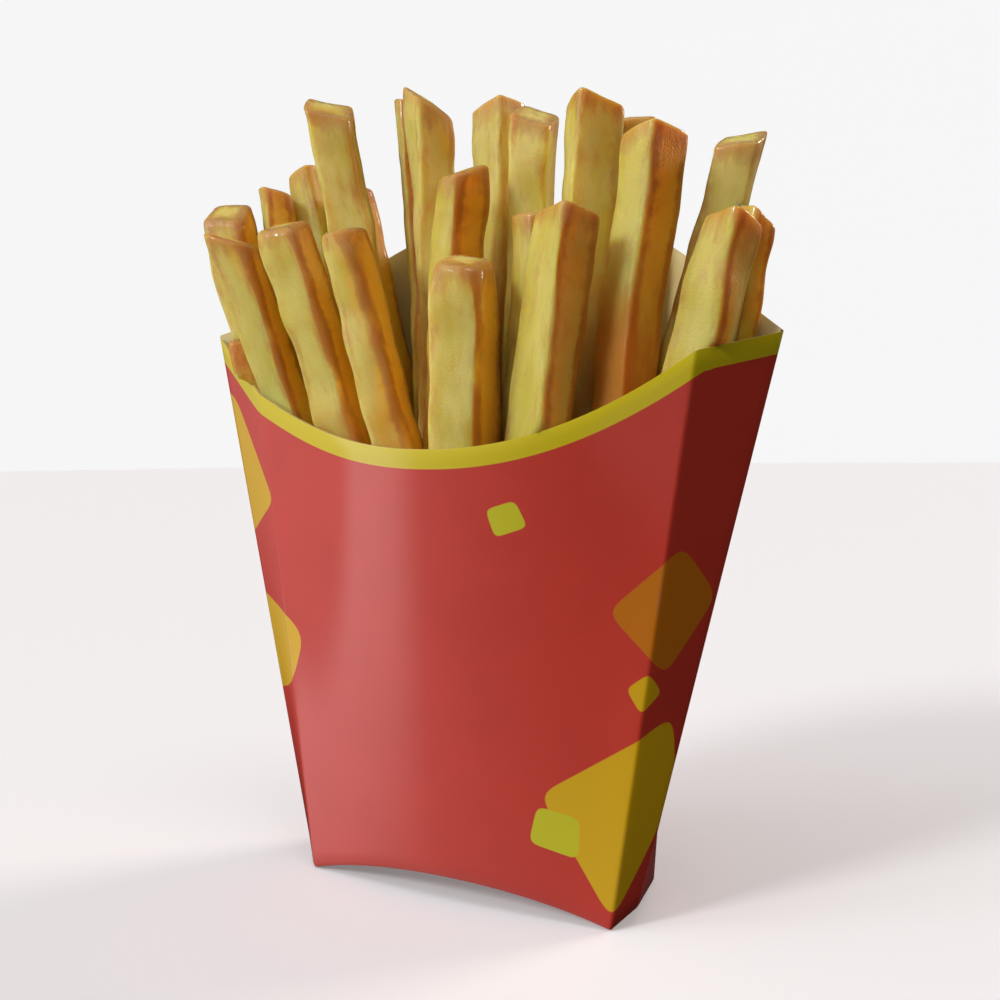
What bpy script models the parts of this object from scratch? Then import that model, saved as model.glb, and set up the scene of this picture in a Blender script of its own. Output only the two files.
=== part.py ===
"""Fries in a paper pouch: a folded scoop carton and the bundle of fries that stands in it.

Metres, +Z up. The origin is on the ground under the middle of the whole, whose low front faces -Y.
The carton is one sheet of board: a bowed front with a dipped rim, a taller bowed back with a round
top, two sides that each fold out along a crease, and an arched base. The fries are one solid, the
union of the fries that show and of the packed mass below them.
"""

from math import radians

import bmesh
import bpy
from mathutils import Matrix, Vector

MM = 0.001

# All the lengths below are placed from the middle of the base. The whole then moves by this much along
# X, to bring the middle of its box over the origin.
CENTRING = 2.45

# The board and the plan of the base, in millimetres.
BOARD = 0.6
BASE_HALF_WIDTH = 32.5
BASE_HALF_DEPTH = 12.0
BASE_ARCH = 4.6
BASE_BOW = 1.8

# The front panel: folds at both ends, a rim that dips between them, and a bow that grows upwards
# and flattens towards the folds.
# The mouth is pushed slightly out of true by the fries, so the right fold stands higher than the left.
FRONT_FOLD_HEIGHT = 100.0
FRONT_FOLD_SKEW = 2.4
FRONT_HALF_WIDTH = 46.8
FRONT_DEPTH = 9.0
FRONT_BOW = 11.2
FRONT_BOW_FLATNESS = 0.35
FRONT_DIP_HEIGHT = 86.0
FRONT_DIP_POWER = 2.2

# The back panel, as wide as the base at its foot and crowned at its top.
BACK_FOLD_HEIGHT = 120.0
BACK_HALF_WIDTH = 41.5
BACK_DEPTH = 11.5
BACK_BOW = 8.0
BACK_CROWN = 16.0

# The crease down each side, from its foot to its tip. The fries push the two tips unevenly far out.
CREASE_FOOT = (36.3, -8.0, 3.5)
LEFT_CREASE_TIP = (-64.2, -1.0, 111.3)
RIGHT_CREASE_TIP = (59.3, 3.4, 106.0)

PANEL_STEPS = 14
WALL_STEPS = 6

# The fries keep this far from the board and from its rim, and whatever leans further out is cut off.
CLEARANCE = 0.4
RIM_CLEARANCE = 2.0
CUTTER_MARGIN = 6.0

# The packed mass of fries fills the carton up to here, and each fry that shows is placed by where
# its middle line passes the mouth and by its tip.
PACKED_HEIGHT = 82.0
MOUTH_HEIGHT = 90.0
ROOT_HEIGHT = 62.0
EDGE_CHAMFER = 1.1
END_CHAMFER = 0.9

# Each row is one fry, in millimetres and degrees, from left to right in three loose ranks:
# mouth (x, y), tip (x, y, z), width, depth, turn at the mouth, twist up to the tip,
# and the fall of its cut end, in mm for each mm, towards -X and towards -Y.
FRIES = (
    (-38.9, -5.5, -51.0, -12.0, 129.6, 9.0, 6.7, -19, 27, -0.32, 0.00),
    (-45.3, -2.0, -58.7, -4.5, 137.3, 9.4, 7.9, 4, 0, -0.12, 0.75),
    (-24.7, -9.0, -37.2, -12.0, 131.2, 9.0, 8.6, -1, 3, 0.02, 0.40),
    (-11.5, -12.0, -20.8, -14.0, 128.2, 7.4, 9.3, 14, -13, 0.12, 0.20),
    (-40.3, 3.0, -49.4, 1.0, 142.0, 6.6, 6.2, -50, 5, -0.25, -0.10),
    (-32.5, 5.0, -46.8, 8.0, 147.4, 6.2, 5.6, -8, 5, 0.45, 0.10),
    (-22.6, 1.5, -33.2, -1.0, 156.7, 8.6, 8.1, 14, 10, -0.45, 0.45),
    (-23.8, 10.0, -35.2, 7.5, 142.0, 9.0, 7.6, 5, -27, 0.00, 0.00),
    (-14.9, 10.0, -19.9, 11.0, 159.0, 7.0, 7.4, -71, 23, -0.30, 0.10),
    (-9.7, 3.5, -12.2, 4.0, 156.2, 8.0, 7.7, -80, 47, -0.75, 0.00),
    (-4.1, -4.0, 1.4, -6.5, 138.4, 6.8, 9.1, 0, -24, 0.12, 0.35),
    (4.4, -13.0, 6.3, -15.0, 119.9, 10.0, 10.4, 0, 6, -0.25, 0.30),
    (2.1, 9.5, 1.9, 7.5, 153.5, 8.7, 8.0, -44, 26, 0.20, -0.15),
    (9.0, 3.5, 11.5, 3.0, 149.8, 7.6, 7.5, 14, -8, -0.45, 0.50),
    (13.2, -4.5, 16.2, -7.0, 128.7, 7.0, 6.0, -25, -5, -0.05, 0.15),
    (18.6, -11.3, 25.7, -14.0, 126.5, 10.8, 7.8, -28, -10, -0.15, -0.25),
    (19.3, 4.0, 24.6, 2.5, 149.2, 9.0, 9.3, -75, 27, -0.15, -0.35),
    (25.3, 9.0, 30.2, 10.0, 148.1, 6.8, 8.0, 20, 5, 0.00, 0.15),
    (31.5, -4.0, 38.6, -5.0, 140.4, 8.2, 8.7, -26, -2, 0.05, -0.24),
    (37.0, 4.5, 51.1, 4.5, 140.2, 7.3, 7.2, 28, -20, -0.05, 0.52),
    (42.1, -2.6, 52.2, -3.4, 124.4, 8.9, 7.5, 2, -34, -0.20, -0.45),
    (46.2, 2.2, 54.2, 3.0, 126.0, 8.6, 5.6, -22, -22, -0.80, -0.50),
)


def clear_scene():
    for obj in list(bpy.data.objects):
        bpy.data.objects.remove(obj, do_unlink=True)


def material(name, colour, roughness):
    made = bpy.data.materials.new(name)
    made.use_nodes = True
    shader = made.node_tree.nodes["Principled BSDF"]
    shader.inputs["Base Color"].default_value = (*colour, 1.0)
    shader.inputs["Roughness"].default_value = roughness
    shader.inputs["Metallic"].default_value = 0.0
    return made


def add_object(name, shape):
    """A new object from a bmesh in millimetres, with its faces pointing out."""
    bmesh.ops.recalc_face_normals(shape, faces=shape.faces)
    bmesh.ops.translate(shape, vec=(CENTRING, 0, 0), verts=shape.verts)
    bmesh.ops.scale(shape, vec=(MM, MM, MM), verts=shape.verts)
    mesh = bpy.data.meshes.new(name)
    shape.to_mesh(mesh)
    shape.free()
    obj = bpy.data.objects.new(name, mesh)
    bpy.context.scene.collection.objects.link(obj)
    return obj


def hide_helper(obj):
    obj.hide_render = True
    obj.display_type = "WIRE"


def mix(low, high, share):
    return low + (high - low) * share


def front_point(across, z):
    """A point of the front panel, across from -1 at the left fold to 1 at the right one."""
    rise = z / FRONT_FOLD_HEIGHT
    x = across * mix(BASE_HALF_WIDTH, FRONT_HALF_WIDTH, rise)
    bow = mix(BASE_BOW, FRONT_BOW, rise) * (1 - across**2) * (1 - FRONT_BOW_FLATNESS * across**2)
    return Vector((x, -mix(BASE_HALF_DEPTH, FRONT_DEPTH, rise) - bow, z))


def back_point(across, z):
    """A point of the back panel, across from -1 at the left fold to 1 at the right one."""
    rise = z / BACK_FOLD_HEIGHT
    x = across * mix(BASE_HALF_WIDTH, BACK_HALF_WIDTH, rise)
    bow = mix(BASE_BOW, BACK_BOW, rise) * (1 - across**2)
    return Vector((x, mix(BASE_HALF_DEPTH, BACK_DEPTH, rise) + bow, z))


def base_height(across):
    return BASE_ARCH * (1 - across**2)


def front_rim_height(across):
    fold = FRONT_FOLD_HEIGHT + FRONT_FOLD_SKEW * across
    return mix(FRONT_DIP_HEIGHT, fold, abs(across) ** FRONT_DIP_POWER)


def back_rim_height(across):
    return BACK_FOLD_HEIGHT + BACK_CROWN * (1 - across**2)


def crease(side):
    """The foot and the tip of a side's crease, side -1 at the left and 1 at the right."""
    foot = Vector((side * CREASE_FOOT[0], CREASE_FOOT[1], CREASE_FOOT[2]))
    return foot, Vector(LEFT_CREASE_TIP if side < 0 else RIGHT_CREASE_TIP)


def wall_lines(above_rim):
    """(foot, top) of each upright line of the wall, once round from the front's left fold."""
    steps = [2 * step / PANEL_STEPS - 1 for step in range(PANEL_STEPS + 1)]
    front = [
        (front_point(across, base_height(across)), front_point(across, front_rim_height(across)))
        for across in steps
    ]
    back = [
        (back_point(across, base_height(across)), back_point(across, back_rim_height(across)))
        for across in reversed(steps)
    ]
    lines = front + [crease(1)] + back + [crease(-1)]
    return [(foot, top + (top - foot).normalized() * above_rim) for foot, top in lines]


def carton_surface(above_rim=0.0):
    """The carton's outer surface as an open cup, the wall all round and the arched base.

    The wall can run on past the rim by above_rim.
    """
    cup = bmesh.new()
    lines = wall_lines(above_rim)
    columns = [
        [cup.verts.new(foot.lerp(top, step / WALL_STEPS)) for step in range(WALL_STEPS + 1)]
        for foot, top in lines
    ]
    for column, following in zip(columns, columns[1:] + columns[:1]):
        for low in range(WALL_STEPS):
            cup.faces.new((column[low], following[low], following[low + 1], column[low + 1]))
    feet = [column[0] for column in columns]
    front = feet[: PANEL_STEPS + 1]
    right_crease = feet[PANEL_STEPS + 1]
    back = feet[PANEL_STEPS + 2 : -1][::-1]
    left_crease = feet[-1]
    for step in range(PANEL_STEPS):
        cup.faces.new((front[step], back[step], back[step + 1], front[step + 1]))
    cup.faces.new((front[-1], back[-1], right_crease))
    cup.faces.new((front[0], left_crease, back[0]))
    bmesh.ops.triangulate(cup, faces=cup.faces[:], quad_method="FIXED")
    return cup


def thicken(obj, outwards, inwards):
    """Gives an open surface two faces, these distances outside it and inside it."""
    shell = obj.modifiers.new("Thickness", "SOLIDIFY")
    shell.thickness = (outwards + inwards) * MM
    shell.offset = (outwards - inwards) / (outwards + inwards)
    shell.use_even_offset = True
    shell.use_quality_normals = True


def build_carton():
    carton = add_object("carton", carton_surface())
    carton.data.materials.append(material("carton_board", (0.53, 0.07, 0.045), 0.4))
    thicken(carton, 0, BOARD)
    return carton


def packed_mass():
    """The closed volume inside the carton's outer surface, cut level at the packed height."""
    cup = carton_surface()
    cut = bmesh.ops.bisect_plane(
        cup,
        geom=cup.verts[:] + cup.edges[:] + cup.faces[:],
        plane_co=(0, 0, PACKED_HEIGHT),
        plane_no=(0, 0, 1),
        clear_outer=True,
    )
    rim = [item for item in cut["geom_cut"] if isinstance(item, bmesh.types.BMEdge)]
    bmesh.ops.holes_fill(cup, edges=rim)
    return cup


def chamfered_corners(width, depth, chamfer):
    """The eight corners of a rectangle with cut corners, once round."""
    x = width / 2
    y = depth / 2
    return (
        (x, y - chamfer),
        (x - chamfer, y),
        (chamfer - x, y),
        (-x, y - chamfer),
        (-x, chamfer - y),
        (chamfer - x, -y),
        (x - chamfer, -y),
        (x, chamfer - y),
    )


def fry_shape(row):
    """One fry as a straight bar with cut edges, from its root in the packed mass to its slanted end."""
    mouth_x, mouth_y, tip_x, tip_y, tip_z, width, depth, turn, twist, fall_x, fall_y = row
    mouth = Vector((mouth_x, mouth_y, MOUTH_HEIGHT))
    tip = Vector((tip_x, tip_y, tip_z))
    axis = (tip - mouth).normalized()
    end_normal = Vector((-fall_x, -fall_y, 1.0))

    def ring(share, inset=0.0):
        """The fry's outline at a share of the way from the mouth, 0, to the tip, 1."""
        spin = Matrix.Rotation(radians(turn + twist * share), 3, "Z")
        across = spin @ Vector((1, 0, 0))
        across = (across - axis * across.dot(axis)).normalized()
        through = axis.cross(across)
        corners = chamfered_corners(width - 2 * inset, depth - 2 * inset, EDGE_CHAMFER)
        centre = mix(mouth, tip, share)
        return [centre + across * x + through * y for x, y in corners]

    def to_end(points, short):
        """The points slid along the fry to its end plane, and then short of it."""
        slides = [(tip - point).dot(end_normal) / axis.dot(end_normal) for point in points]
        return [point + axis * (slide - short) for point, slide in zip(points, slides)]

    root_share = (ROOT_HEIGHT - MOUTH_HEIGHT) / (tip_z - MOUTH_HEIGHT)
    body_end = to_end(ring(1), END_CHAMFER)
    cut_end = to_end(ring(1, inset=END_CHAMFER), 0)
    rings = [ring(root_share), ring(0), ring(0.5), body_end, cut_end]

    bar = bmesh.new()
    loops = [[bar.verts.new(point) for point in points] for points in rings]
    for below, above in zip(loops, loops[1:]):
        for index in range(len(below)):
            after = (index + 1) % len(below)
            bar.faces.new((below[index], below[after], above[after], above[index]))
    bar.faces.new(loops[0])
    bar.faces.new(loops[-1])
    return bar


def boolean(obj, operation, name, other=None, collection=None):
    """An exact Boolean that allows operands whose own parts overlap, as the bars and thick corners do."""
    modifier = obj.modifiers.new(name, "BOOLEAN")
    modifier.operation = operation
    modifier.solver = "EXACT"
    modifier.use_self = True
    if collection is None:
        modifier.object = other
    else:
        modifier.operand_type = "COLLECTION"
        modifier.collection = collection


def build_fries():
    """The packed mass and the fries above it as one solid, cut back clear of the board."""
    fries = add_object("fries", packed_mass())
    fries.data.materials.append(material("fried_potato", (0.62, 0.4, 0.09), 0.45))
    bars = bpy.data.collections.new("fry_bars")
    bpy.context.scene.collection.children.link(bars)
    for number, row in enumerate(FRIES, 1):
        bar = add_object(f"bar_{number:02d}", fry_shape(row))
        bpy.context.scene.collection.objects.unlink(bar)
        bars.objects.link(bar)
        hide_helper(bar)
    boolean(fries, "UNION", "Join bars", collection=bars)

    room = add_object("board_room", carton_surface(above_rim=RIM_CLEARANCE))
    thicken(room, CUTTER_MARGIN, BOARD + CLEARANCE)
    hide_helper(room)
    boolean(fries, "DIFFERENCE", "Clear the board", other=room)
    return fries


def main():
    clear_scene()
    build_carton()
    build_fries()


main()
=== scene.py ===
"""The looks of a paper pouch of fries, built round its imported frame.

Lengths are in millimetres and become metres when a mesh is made. The carton's formulas and the table of
fries are the same as in the model's own source, so every piece lies where its solid does.
"""

from math import cos, pi, radians, sin, sqrt, tan

import bmesh
import bpy
import numpy as np
from mathutils import Matrix, Vector, noise
from mathutils.bvhtree import BVHTree


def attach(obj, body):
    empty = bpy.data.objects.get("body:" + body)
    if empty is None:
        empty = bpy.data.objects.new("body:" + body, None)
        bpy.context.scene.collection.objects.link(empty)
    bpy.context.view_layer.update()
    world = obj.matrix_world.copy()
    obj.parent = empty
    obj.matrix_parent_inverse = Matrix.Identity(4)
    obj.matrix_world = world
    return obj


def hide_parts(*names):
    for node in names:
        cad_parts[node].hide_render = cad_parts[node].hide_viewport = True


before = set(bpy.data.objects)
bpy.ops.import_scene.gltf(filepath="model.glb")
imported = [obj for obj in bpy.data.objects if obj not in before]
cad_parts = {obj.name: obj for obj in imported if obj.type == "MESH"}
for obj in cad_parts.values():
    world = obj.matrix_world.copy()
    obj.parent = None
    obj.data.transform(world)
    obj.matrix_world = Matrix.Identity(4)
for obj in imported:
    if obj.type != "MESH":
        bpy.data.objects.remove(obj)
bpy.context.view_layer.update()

# Millimetres to metres, the move along X that centres the whole, as in the model, and the random seed.
MM = 0.001
CENTRING = 2.45
SEED = 20

# The carton, as the model has it: board, base, front panel, back panel and side creases.
BOARD = 0.6
BASE_HALF_WIDTH = 32.5
BASE_HALF_DEPTH = 12.0
BASE_ARCH = 4.6
BASE_BOW = 1.8
FRONT_FOLD_HEIGHT = 100.0
FRONT_FOLD_SKEW = 2.4
FRONT_HALF_WIDTH = 46.8
FRONT_DEPTH = 9.0
FRONT_BOW = 11.2
FRONT_BOW_FLATNESS = 0.35
FRONT_DIP_HEIGHT = 86.0
FRONT_DIP_POWER = 2.2
BACK_FOLD_HEIGHT = 120.0
BACK_HALF_WIDTH = 41.5
BACK_DEPTH = 11.5
BACK_BOW = 8.0
BACK_CROWN = 16.0
CREASE_FOOT = (36.3, -8.0, 3.5)
LEFT_CREASE_TIP = (-64.2, -1.0, 111.3)
RIGHT_CREASE_TIP = (59.3, 3.4, 106.0)

# How finely the carton's surface is divided, and how round its folds are.
PANEL_STEPS = 56
GUSSET_STEPS = 8
WALL_STEPS = 36
BASE_STEPS = 8
FOLD_ROUNDING = 0.55
BASE_ROUNDING = 0.8
FOLD_SEGMENTS = 4
CUT_EDGE_WIDTH = 0.12
CUT_EDGE_ANGLE = 50

# The print: a band below the rim, and rounded fields of ink. Each field is its ink, the radius of its
# corners, and its corners on the unrolled board (along it from the middle of the panel, height), clockwise.
BAND_WIDTH = 3.7
INK_SOFTNESS = 0.16
CORNER_SMOOTHING = 1.76
RED_INK = (0.71, 0.052, 0.027)
RED_INK_MOTTLE = 0.93
RUBBED_INK = (0.62, 0.3, 0.2)
BAND_INK = (0.77, 0.62, 0.004)
GOLD_INK = (0.83, 0.49, 0.003)
LEMON_INK = (0.7, 0.66, 0.014)
AMBER_INK = (0.68, 0.2, 0.002)
FRONT_FIELDS = (
    (GOLD_INK, 2.6, ((-72.0, 101.2), (-61.2, 98.2), (-43.7, 75.4), (-57.5, 67.3), (-74.0, 76.0))),
    (
        GOLD_INK,
        2.6,
        ((-56.0, 56.5), (-39.2, 52.1), (-34.8, 47.8), (-38.6, 37.4), (-50.0, 34.6), (-58.0, 45.0)),
    ),
    (LEMON_INK, 1.2, ((11.3, 75.2), (16.8, 76.9), (19.0, 72.2), (12.9, 70.2))),
    (AMBER_INK, 2.6, ((32.7, 57.4), (46.4, 69.1), (53.3, 60.0), (43.0, 46.1))),
    (GOLD_INK, 1.2, ((35.8, 43.9), (39.9, 46.8), (42.4, 43.2), (38.3, 39.5))),
    (GOLD_INK, 3.0, ((19.6, 23.6), (44.7, 39.0), (45.6, 25.5), (40.5, 13.6), (32.8, 1.9))),
    (LEMON_INK, 1.6, ((19.2, 21.4), (27.2, 19.8), (26.7, 12.3), (17.4, 14.4))),
)
BACK_FIELDS = (
    (GOLD_INK, 3.0, ((-33.0, 104.0), (-17.0, 110.0), (-10.0, 92.0), (-27.0, 88.0))),
    (LEMON_INK, 1.4, ((-5.0, 121.0), (2.0, 122.0), (2.5, 115.0), (-4.0, 114.0))),
    (AMBER_INK, 2.6, ((8.0, 84.0), (22.0, 90.0), (28.0, 76.0), (15.0, 69.0))),
    (LEMON_INK, 1.4, ((-12.0, 63.0), (-5.0, 65.0), (-3.0, 58.0), (-10.5, 56.0))),
    (GOLD_INK, 2.8, ((-31.0, 49.0), (-19.0, 45.0), (-20.0, 29.0), (-34.0, 36.0))),
    (GOLD_INK, 2.8, ((4.0, 32.0), (20.0, 41.0), (30.0, 25.0), (12.0, 13.0))),
    (LEMON_INK, 1.4, ((26.0, 110.0), (32.0, 107.0), (29.5, 101.0), (24.0, 104.0))),
)

# The fries that show, as the model has them: mouth (x, y), tip (x, y, z), width, depth, turn at the
# mouth, twist up to the tip, and the fall of the cut end towards -X and towards -Y.
MOUTH_HEIGHT = 90.0
ROOT_HEIGHT = 62.0
FRIES = (
    (-38.9, -5.5, -51.0, -12.0, 129.6, 9.0, 6.7, -19, 27, -0.32, 0.00),
    (-45.3, -2.0, -58.7, -4.5, 137.3, 9.4, 7.9, 4, 0, -0.12, 0.75),
    (-24.7, -9.0, -37.2, -12.0, 131.2, 9.0, 8.6, -1, 3, 0.02, 0.40),
    (-11.5, -12.0, -20.8, -14.0, 128.2, 7.4, 9.3, 14, -13, 0.12, 0.20),
    (-40.3, 3.0, -49.4, 1.0, 142.0, 6.6, 6.2, -50, 5, -0.25, -0.10),
    (-32.5, 5.0, -46.8, 8.0, 147.4, 6.2, 5.6, -8, 5, 0.45, 0.10),
    (-22.6, 1.5, -33.2, -1.0, 156.7, 8.6, 8.1, 14, 10, -0.45, 0.45),
    (-23.8, 10.0, -35.2, 7.5, 142.0, 9.0, 7.6, 5, -27, 0.00, 0.00),
    (-14.9, 10.0, -19.9, 11.0, 159.0, 7.0, 7.4, -71, 23, -0.30, 0.10),
    (-9.7, 3.5, -12.2, 4.0, 156.2, 8.0, 7.7, -80, 47, -0.75, 0.00),
    (-4.1, -4.0, 1.4, -6.5, 138.4, 6.8, 9.1, 0, -24, 0.12, 0.35),
    (4.4, -13.0, 6.3, -15.0, 119.9, 10.0, 10.4, 0, 6, -0.25, 0.30),
    (2.1, 9.5, 1.9, 7.5, 153.5, 8.7, 8.0, -44, 26, 0.20, -0.15),
    (9.0, 3.5, 11.5, 3.0, 149.8, 7.6, 7.5, 14, -8, -0.45, 0.50),
    (13.2, -4.5, 16.2, -7.0, 128.7, 7.0, 6.0, -25, -5, -0.05, 0.15),
    (18.6, -11.3, 25.7, -14.0, 126.5, 10.8, 7.8, -28, -10, -0.15, -0.25),
    (19.3, 4.0, 24.6, 2.5, 149.2, 9.0, 9.3, -75, 27, -0.15, -0.35),
    (25.3, 9.0, 30.2, 10.0, 148.1, 6.8, 8.0, 20, 5, 0.00, 0.15),
    (31.5, -4.0, 38.6, -5.0, 140.4, 8.2, 8.7, -26, -2, 0.05, -0.24),
    (37.0, 4.5, 51.1, 4.5, 140.2, 7.3, 7.2, 28, -20, -0.05, 0.52),
    (42.1, -2.6, 52.2, -3.4, 124.4, 8.9, 7.5, 2, -34, -0.20, -0.45),
    (46.2, 2.2, 54.2, 3.0, 126.0, 8.6, 5.6, -22, -22, -0.80, -0.50),
)

# How each of those fries is done: how brown its right side is (partly painted shade on the side turned from
# the key light), the height up to which its foot is darkened with painted shade and how strongly, how wet it
# is, and how round its cut end is.
FRY_LOOKS = (
    (0.90, 0.0, 0.0, 0.00, 0.7),
    (0.90, 0.0, 0.0, 0.00, 0.8),
    (0.90, 98.0, 0.8, 0.00, 1.2),
    (0.85, 100.0, 0.4, 0.00, 1.0),
    (0.75, 0.0, 0.0, 0.00, 0.6),
    (0.30, 0.0, 0.0, 0.00, 0.6),
    (0.35, 0.0, 0.0, 0.00, 0.3),
    (0.80, 0.0, 0.0, 0.00, 0.6),
    (0.90, 0.0, 0.0, 0.05, 0.5),
    (0.30, 122.0, 0.5, 0.00, 0.8),
    (0.80, 118.0, 0.5, 0.00, 1.0),
    (0.70, 0.0, 0.0, 0.00, 1.0),
    (0.20, 130.0, 0.5, 0.05, 0.4),
    (0.15, 0.0, 0.0, 0.00, 0.35),
    (0.00, 0.0, 0.0, 0.20, 0.5),
    (0.50, 0.0, 0.0, 0.05, 0.7),
    (0.32, 124.0, 0.6, 0.00, 0.5),
    (0.15, 0.0, 0.0, 0.00, 0.5),
    (0.70, 122.0, 0.9, 0.05, 0.4),
    (0.20, 128.0, 0.6, 0.05, 0.3),
    (0.50, 0.0, 0.0, 0.00, 0.5),
    (0.60, 0.0, 0.0, 0.05, 0.5),
)
# How far up the painted shade at a fry's foot fades out.
FOOT_SHADE_FADE = 16.0

# The second fry is wedged in at the left with its foot in the open, over a short one that is darkened all
# over with painted shade.
WEDGED_FRY = 2
WEDGED_ROOT = 109.0
PROP_FRY = (-47.8, -3.2, -52.3, -4.9, 109.5, 8.2, 7.0, 30, 0, 0.0, 0.1)
# The short one's look browns its side and its whole length as painted shade.
PROP_LOOK = (0.9, 130.0, 1.0, 0.0, 0.8)

# How finely a fry is divided, and its shape: rounded edges, uneven sides, a slow waver and a cap.
RING_GAP = 1.0
CORNER_STEPS = 4
SIDE_STEPS = 5
EDGE_RADIUS = 1.15
END_RADIUS = 1.4
END_STEPS = 5
ROOT_RADIUS = 2.4
SIZE_WAVER = 0.03
PATH_WAVER = 0.2
EDGE_WAVER = 0.25
END_EDGE_REACH = 5.0
END_EDGE_GAIN = 0.9
ROOT_FADE = 20
SIDE_BULGES = (-0.12, 0.32)
CAP_SHARES = (0.75, 0.5, 0.25)
CAP_CROWN = 0.25
CAP_REACH = 7.0
CORNER_SIGNS = ((1, 1), (-1, 1), (-1, -1), (1, -1))
WAVE_LENGTHS = (70.0, 34.0, 19.0, 11.0)
WAVE_WEIGHTS = (1.0, 0.7, 0.45, 0.25)
LUMP_SIZE = 6.0
LUMP_DEPTH = 0.3
GRAIN_SIZE = 1.7
GRAIN_DEPTH = 0.06
WALL_GAP = 0.15
WALL_SEARCH = 9.0
WALL_SLIP = 0.2

# The short fries below the rim, wherever the tall ones leave room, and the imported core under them.
FILLER_TRIES = 900
FILLER_FIELD_X = (-42, 42)
FILLER_FIELD_Y = (-20, 17)
FILLER_REACH = 5.6
FILLER_TOP = 82.0
FILLER_TOP_SPREAD = 3.0
FILLER_ROOT = 58.0
FILLER_SIZE = 6.6
FILLER_SIZE_SPREAD = 0.9
FILLER_FAN = 400
FILLER_TILT = 0.07
FILLER_TURN = 40
FILLER_FALL = 0.35
FILLER_WALL_GAP = 4.2
FILLER_LOOK = (0.8, 0.0, 0.0, 0.0, 0.8)
CORE_TOP = 71.0
CORE_GAP = 1.2
CORE_STEPS = 10
CORE_TOP_STEPS = 9
CORE_LUMP_SIZE = 7.0
CORE_LUMP_DEPTH = 4.0

# The skin of a fry. It is browned on the side that faces this way, the side turned from the key light: partly
# real browning, partly painted shade.
SHADED_AND_TOASTED_SIDE = Vector((0.97, -0.1, 0.1)).normalized()
SHADE_AND_TOAST_GAIN = 1.2
PALE_SKIN = (0.76, 0.66, 0.2)
DEEPER_SKIN = (0.72, 0.63, 0.15)
OLIVE_SKIN = (0.64, 0.55, 0.08)
STREAK_SKIN = (0.56, 0.5, 0.1)
TAN_SKIN = (0.6, 0.38, 0.12)
# Painted shade, partly real browning: the amber-brown of the side turned from the key light.
SHADED_AND_TOASTED_SKIN = (0.95, 0.48, 0.025)
# Painted shade: a dark stripe along the edges of that side.
SHADE_STRIPE_SKIN = (0.45, 0.14, 0.01)
RIM_SKIN = (0.48, 0.24, 0.05)
TIP_SKIN = (0.46, 0.22, 0.04)
# Painted shade at the foot of a fry, where it stands deep among the others.
FOOT_SHADE_SKIN = (0.6, 0.2, 0.02)
SPECK_SKIN = (0.46, 0.24, 0.06)

# The camera, in millimetres and degrees.
CAMERA_PLACE = (100.86, -182.94, 87.06)
CAMERA_TARGET = (10.15, -5.0, 76.2)
CAMERA_ROLL = -0.53
CAMERA_LENS = 37.8
SENSOR_WIDTH = 36.0

# The lights: name, azimuth from -Y towards +X, elevation, power, spread and colour, angles in degrees.
# The glow lights the fries alone.
LIGHTS = (
    ("Key", -32, 32, 1.24, 14, (1.0, 1.0, 1.0)),
    ("Top", 55, 68, 0.35, 24, (1.0, 1.0, 1.0)),
    ("Rim", 140, 25, 1.5, 20, (1.0, 0.85, 0.75)),
)
GLOW = ("Glow", 40, 14, 0.4, 60, (1.0, 0.9, 0.7))

# The light all round: its colour, and how strong it is everywhere, at the left, from above, in the tall
# strip at the left and in the small one at the front.
WORLD_COLOUR = (1.0, 0.94, 1.0, 1.0)
WORLD_DIM = 0.02
WORLD_LEFT = 0.5
WORLD_TOP = 0.25
WORLD_TALL_STRIP = 1.5
WORLD_SMALL_STRIP = 0.3

STAGE_RADIUS = 4.0
FLOOR_GLOW = 0.2
FLOOR_COLOUR = (0.8, 0.8, 0.8, 1.0)
BACKDROP_COLOUR = (0.92, 0.92, 0.92, 1.0)


def mix(low, high, share):
    return low + (high - low) * share


def front_plan(across, z):
    """Where the front panel is in plan, across from -1 at the left fold to 1 at the right one."""
    rise = z / FRONT_FOLD_HEIGHT
    x = across * mix(BASE_HALF_WIDTH, FRONT_HALF_WIDTH, rise)
    bow = mix(BASE_BOW, FRONT_BOW, rise) * (1 - across**2) * (1 - FRONT_BOW_FLATNESS * across**2)
    return x, -mix(BASE_HALF_DEPTH, FRONT_DEPTH, rise) - bow


def back_plan(across, z):
    """Where the back panel is in plan, across from -1 at the left fold to 1 at the right one."""
    rise = z / BACK_FOLD_HEIGHT
    x = across * mix(BASE_HALF_WIDTH, BACK_HALF_WIDTH, rise)
    bow = mix(BASE_BOW, BACK_BOW, rise) * (1 - across**2)
    return x, mix(BASE_HALF_DEPTH, BACK_DEPTH, rise) + bow


def base_height(across):
    return BASE_ARCH * (1 - across**2)


def front_rim_height(across):
    fold = FRONT_FOLD_HEIGHT + FRONT_FOLD_SKEW * across
    return mix(FRONT_DIP_HEIGHT, fold, abs(across) ** FRONT_DIP_POWER)


def back_rim_height(across):
    return BACK_FOLD_HEIGHT + BACK_CROWN * (1 - across**2)


def crease(side):
    """The foot and the tip of a side's crease, side -1 at the left and 1 at the right."""
    foot = Vector((side * CREASE_FOOT[0], CREASE_FOOT[1], CREASE_FOOT[2]))
    return foot, Vector(LEFT_CREASE_TIP if side < 0 else RIGHT_CREASE_TIP)


def crease_point(side, z):
    foot, tip = crease(side)
    return mix(foot, tip, (z - foot.z) / (tip.z - foot.z))


def front_line(across):
    """The foot and the top of the front panel at a place across it."""
    ends = (base_height(across), front_rim_height(across))
    return tuple(Vector((*front_plan(across, z), z)) for z in ends)


def back_line(across):
    """The foot and the top of the back panel at a place across it."""
    ends = (base_height(across), back_rim_height(across))
    return tuple(Vector((*back_plan(across, z), z)) for z in ends)


def mixed_line(first, second, share):
    return mix(first[0], second[0], share), mix(first[1], second[1], share)


def between(line, following, steps):
    """The (foot, top) lines strictly between two others."""
    return [mixed_line(line, following, step / steps) for step in range(1, steps)]


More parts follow.
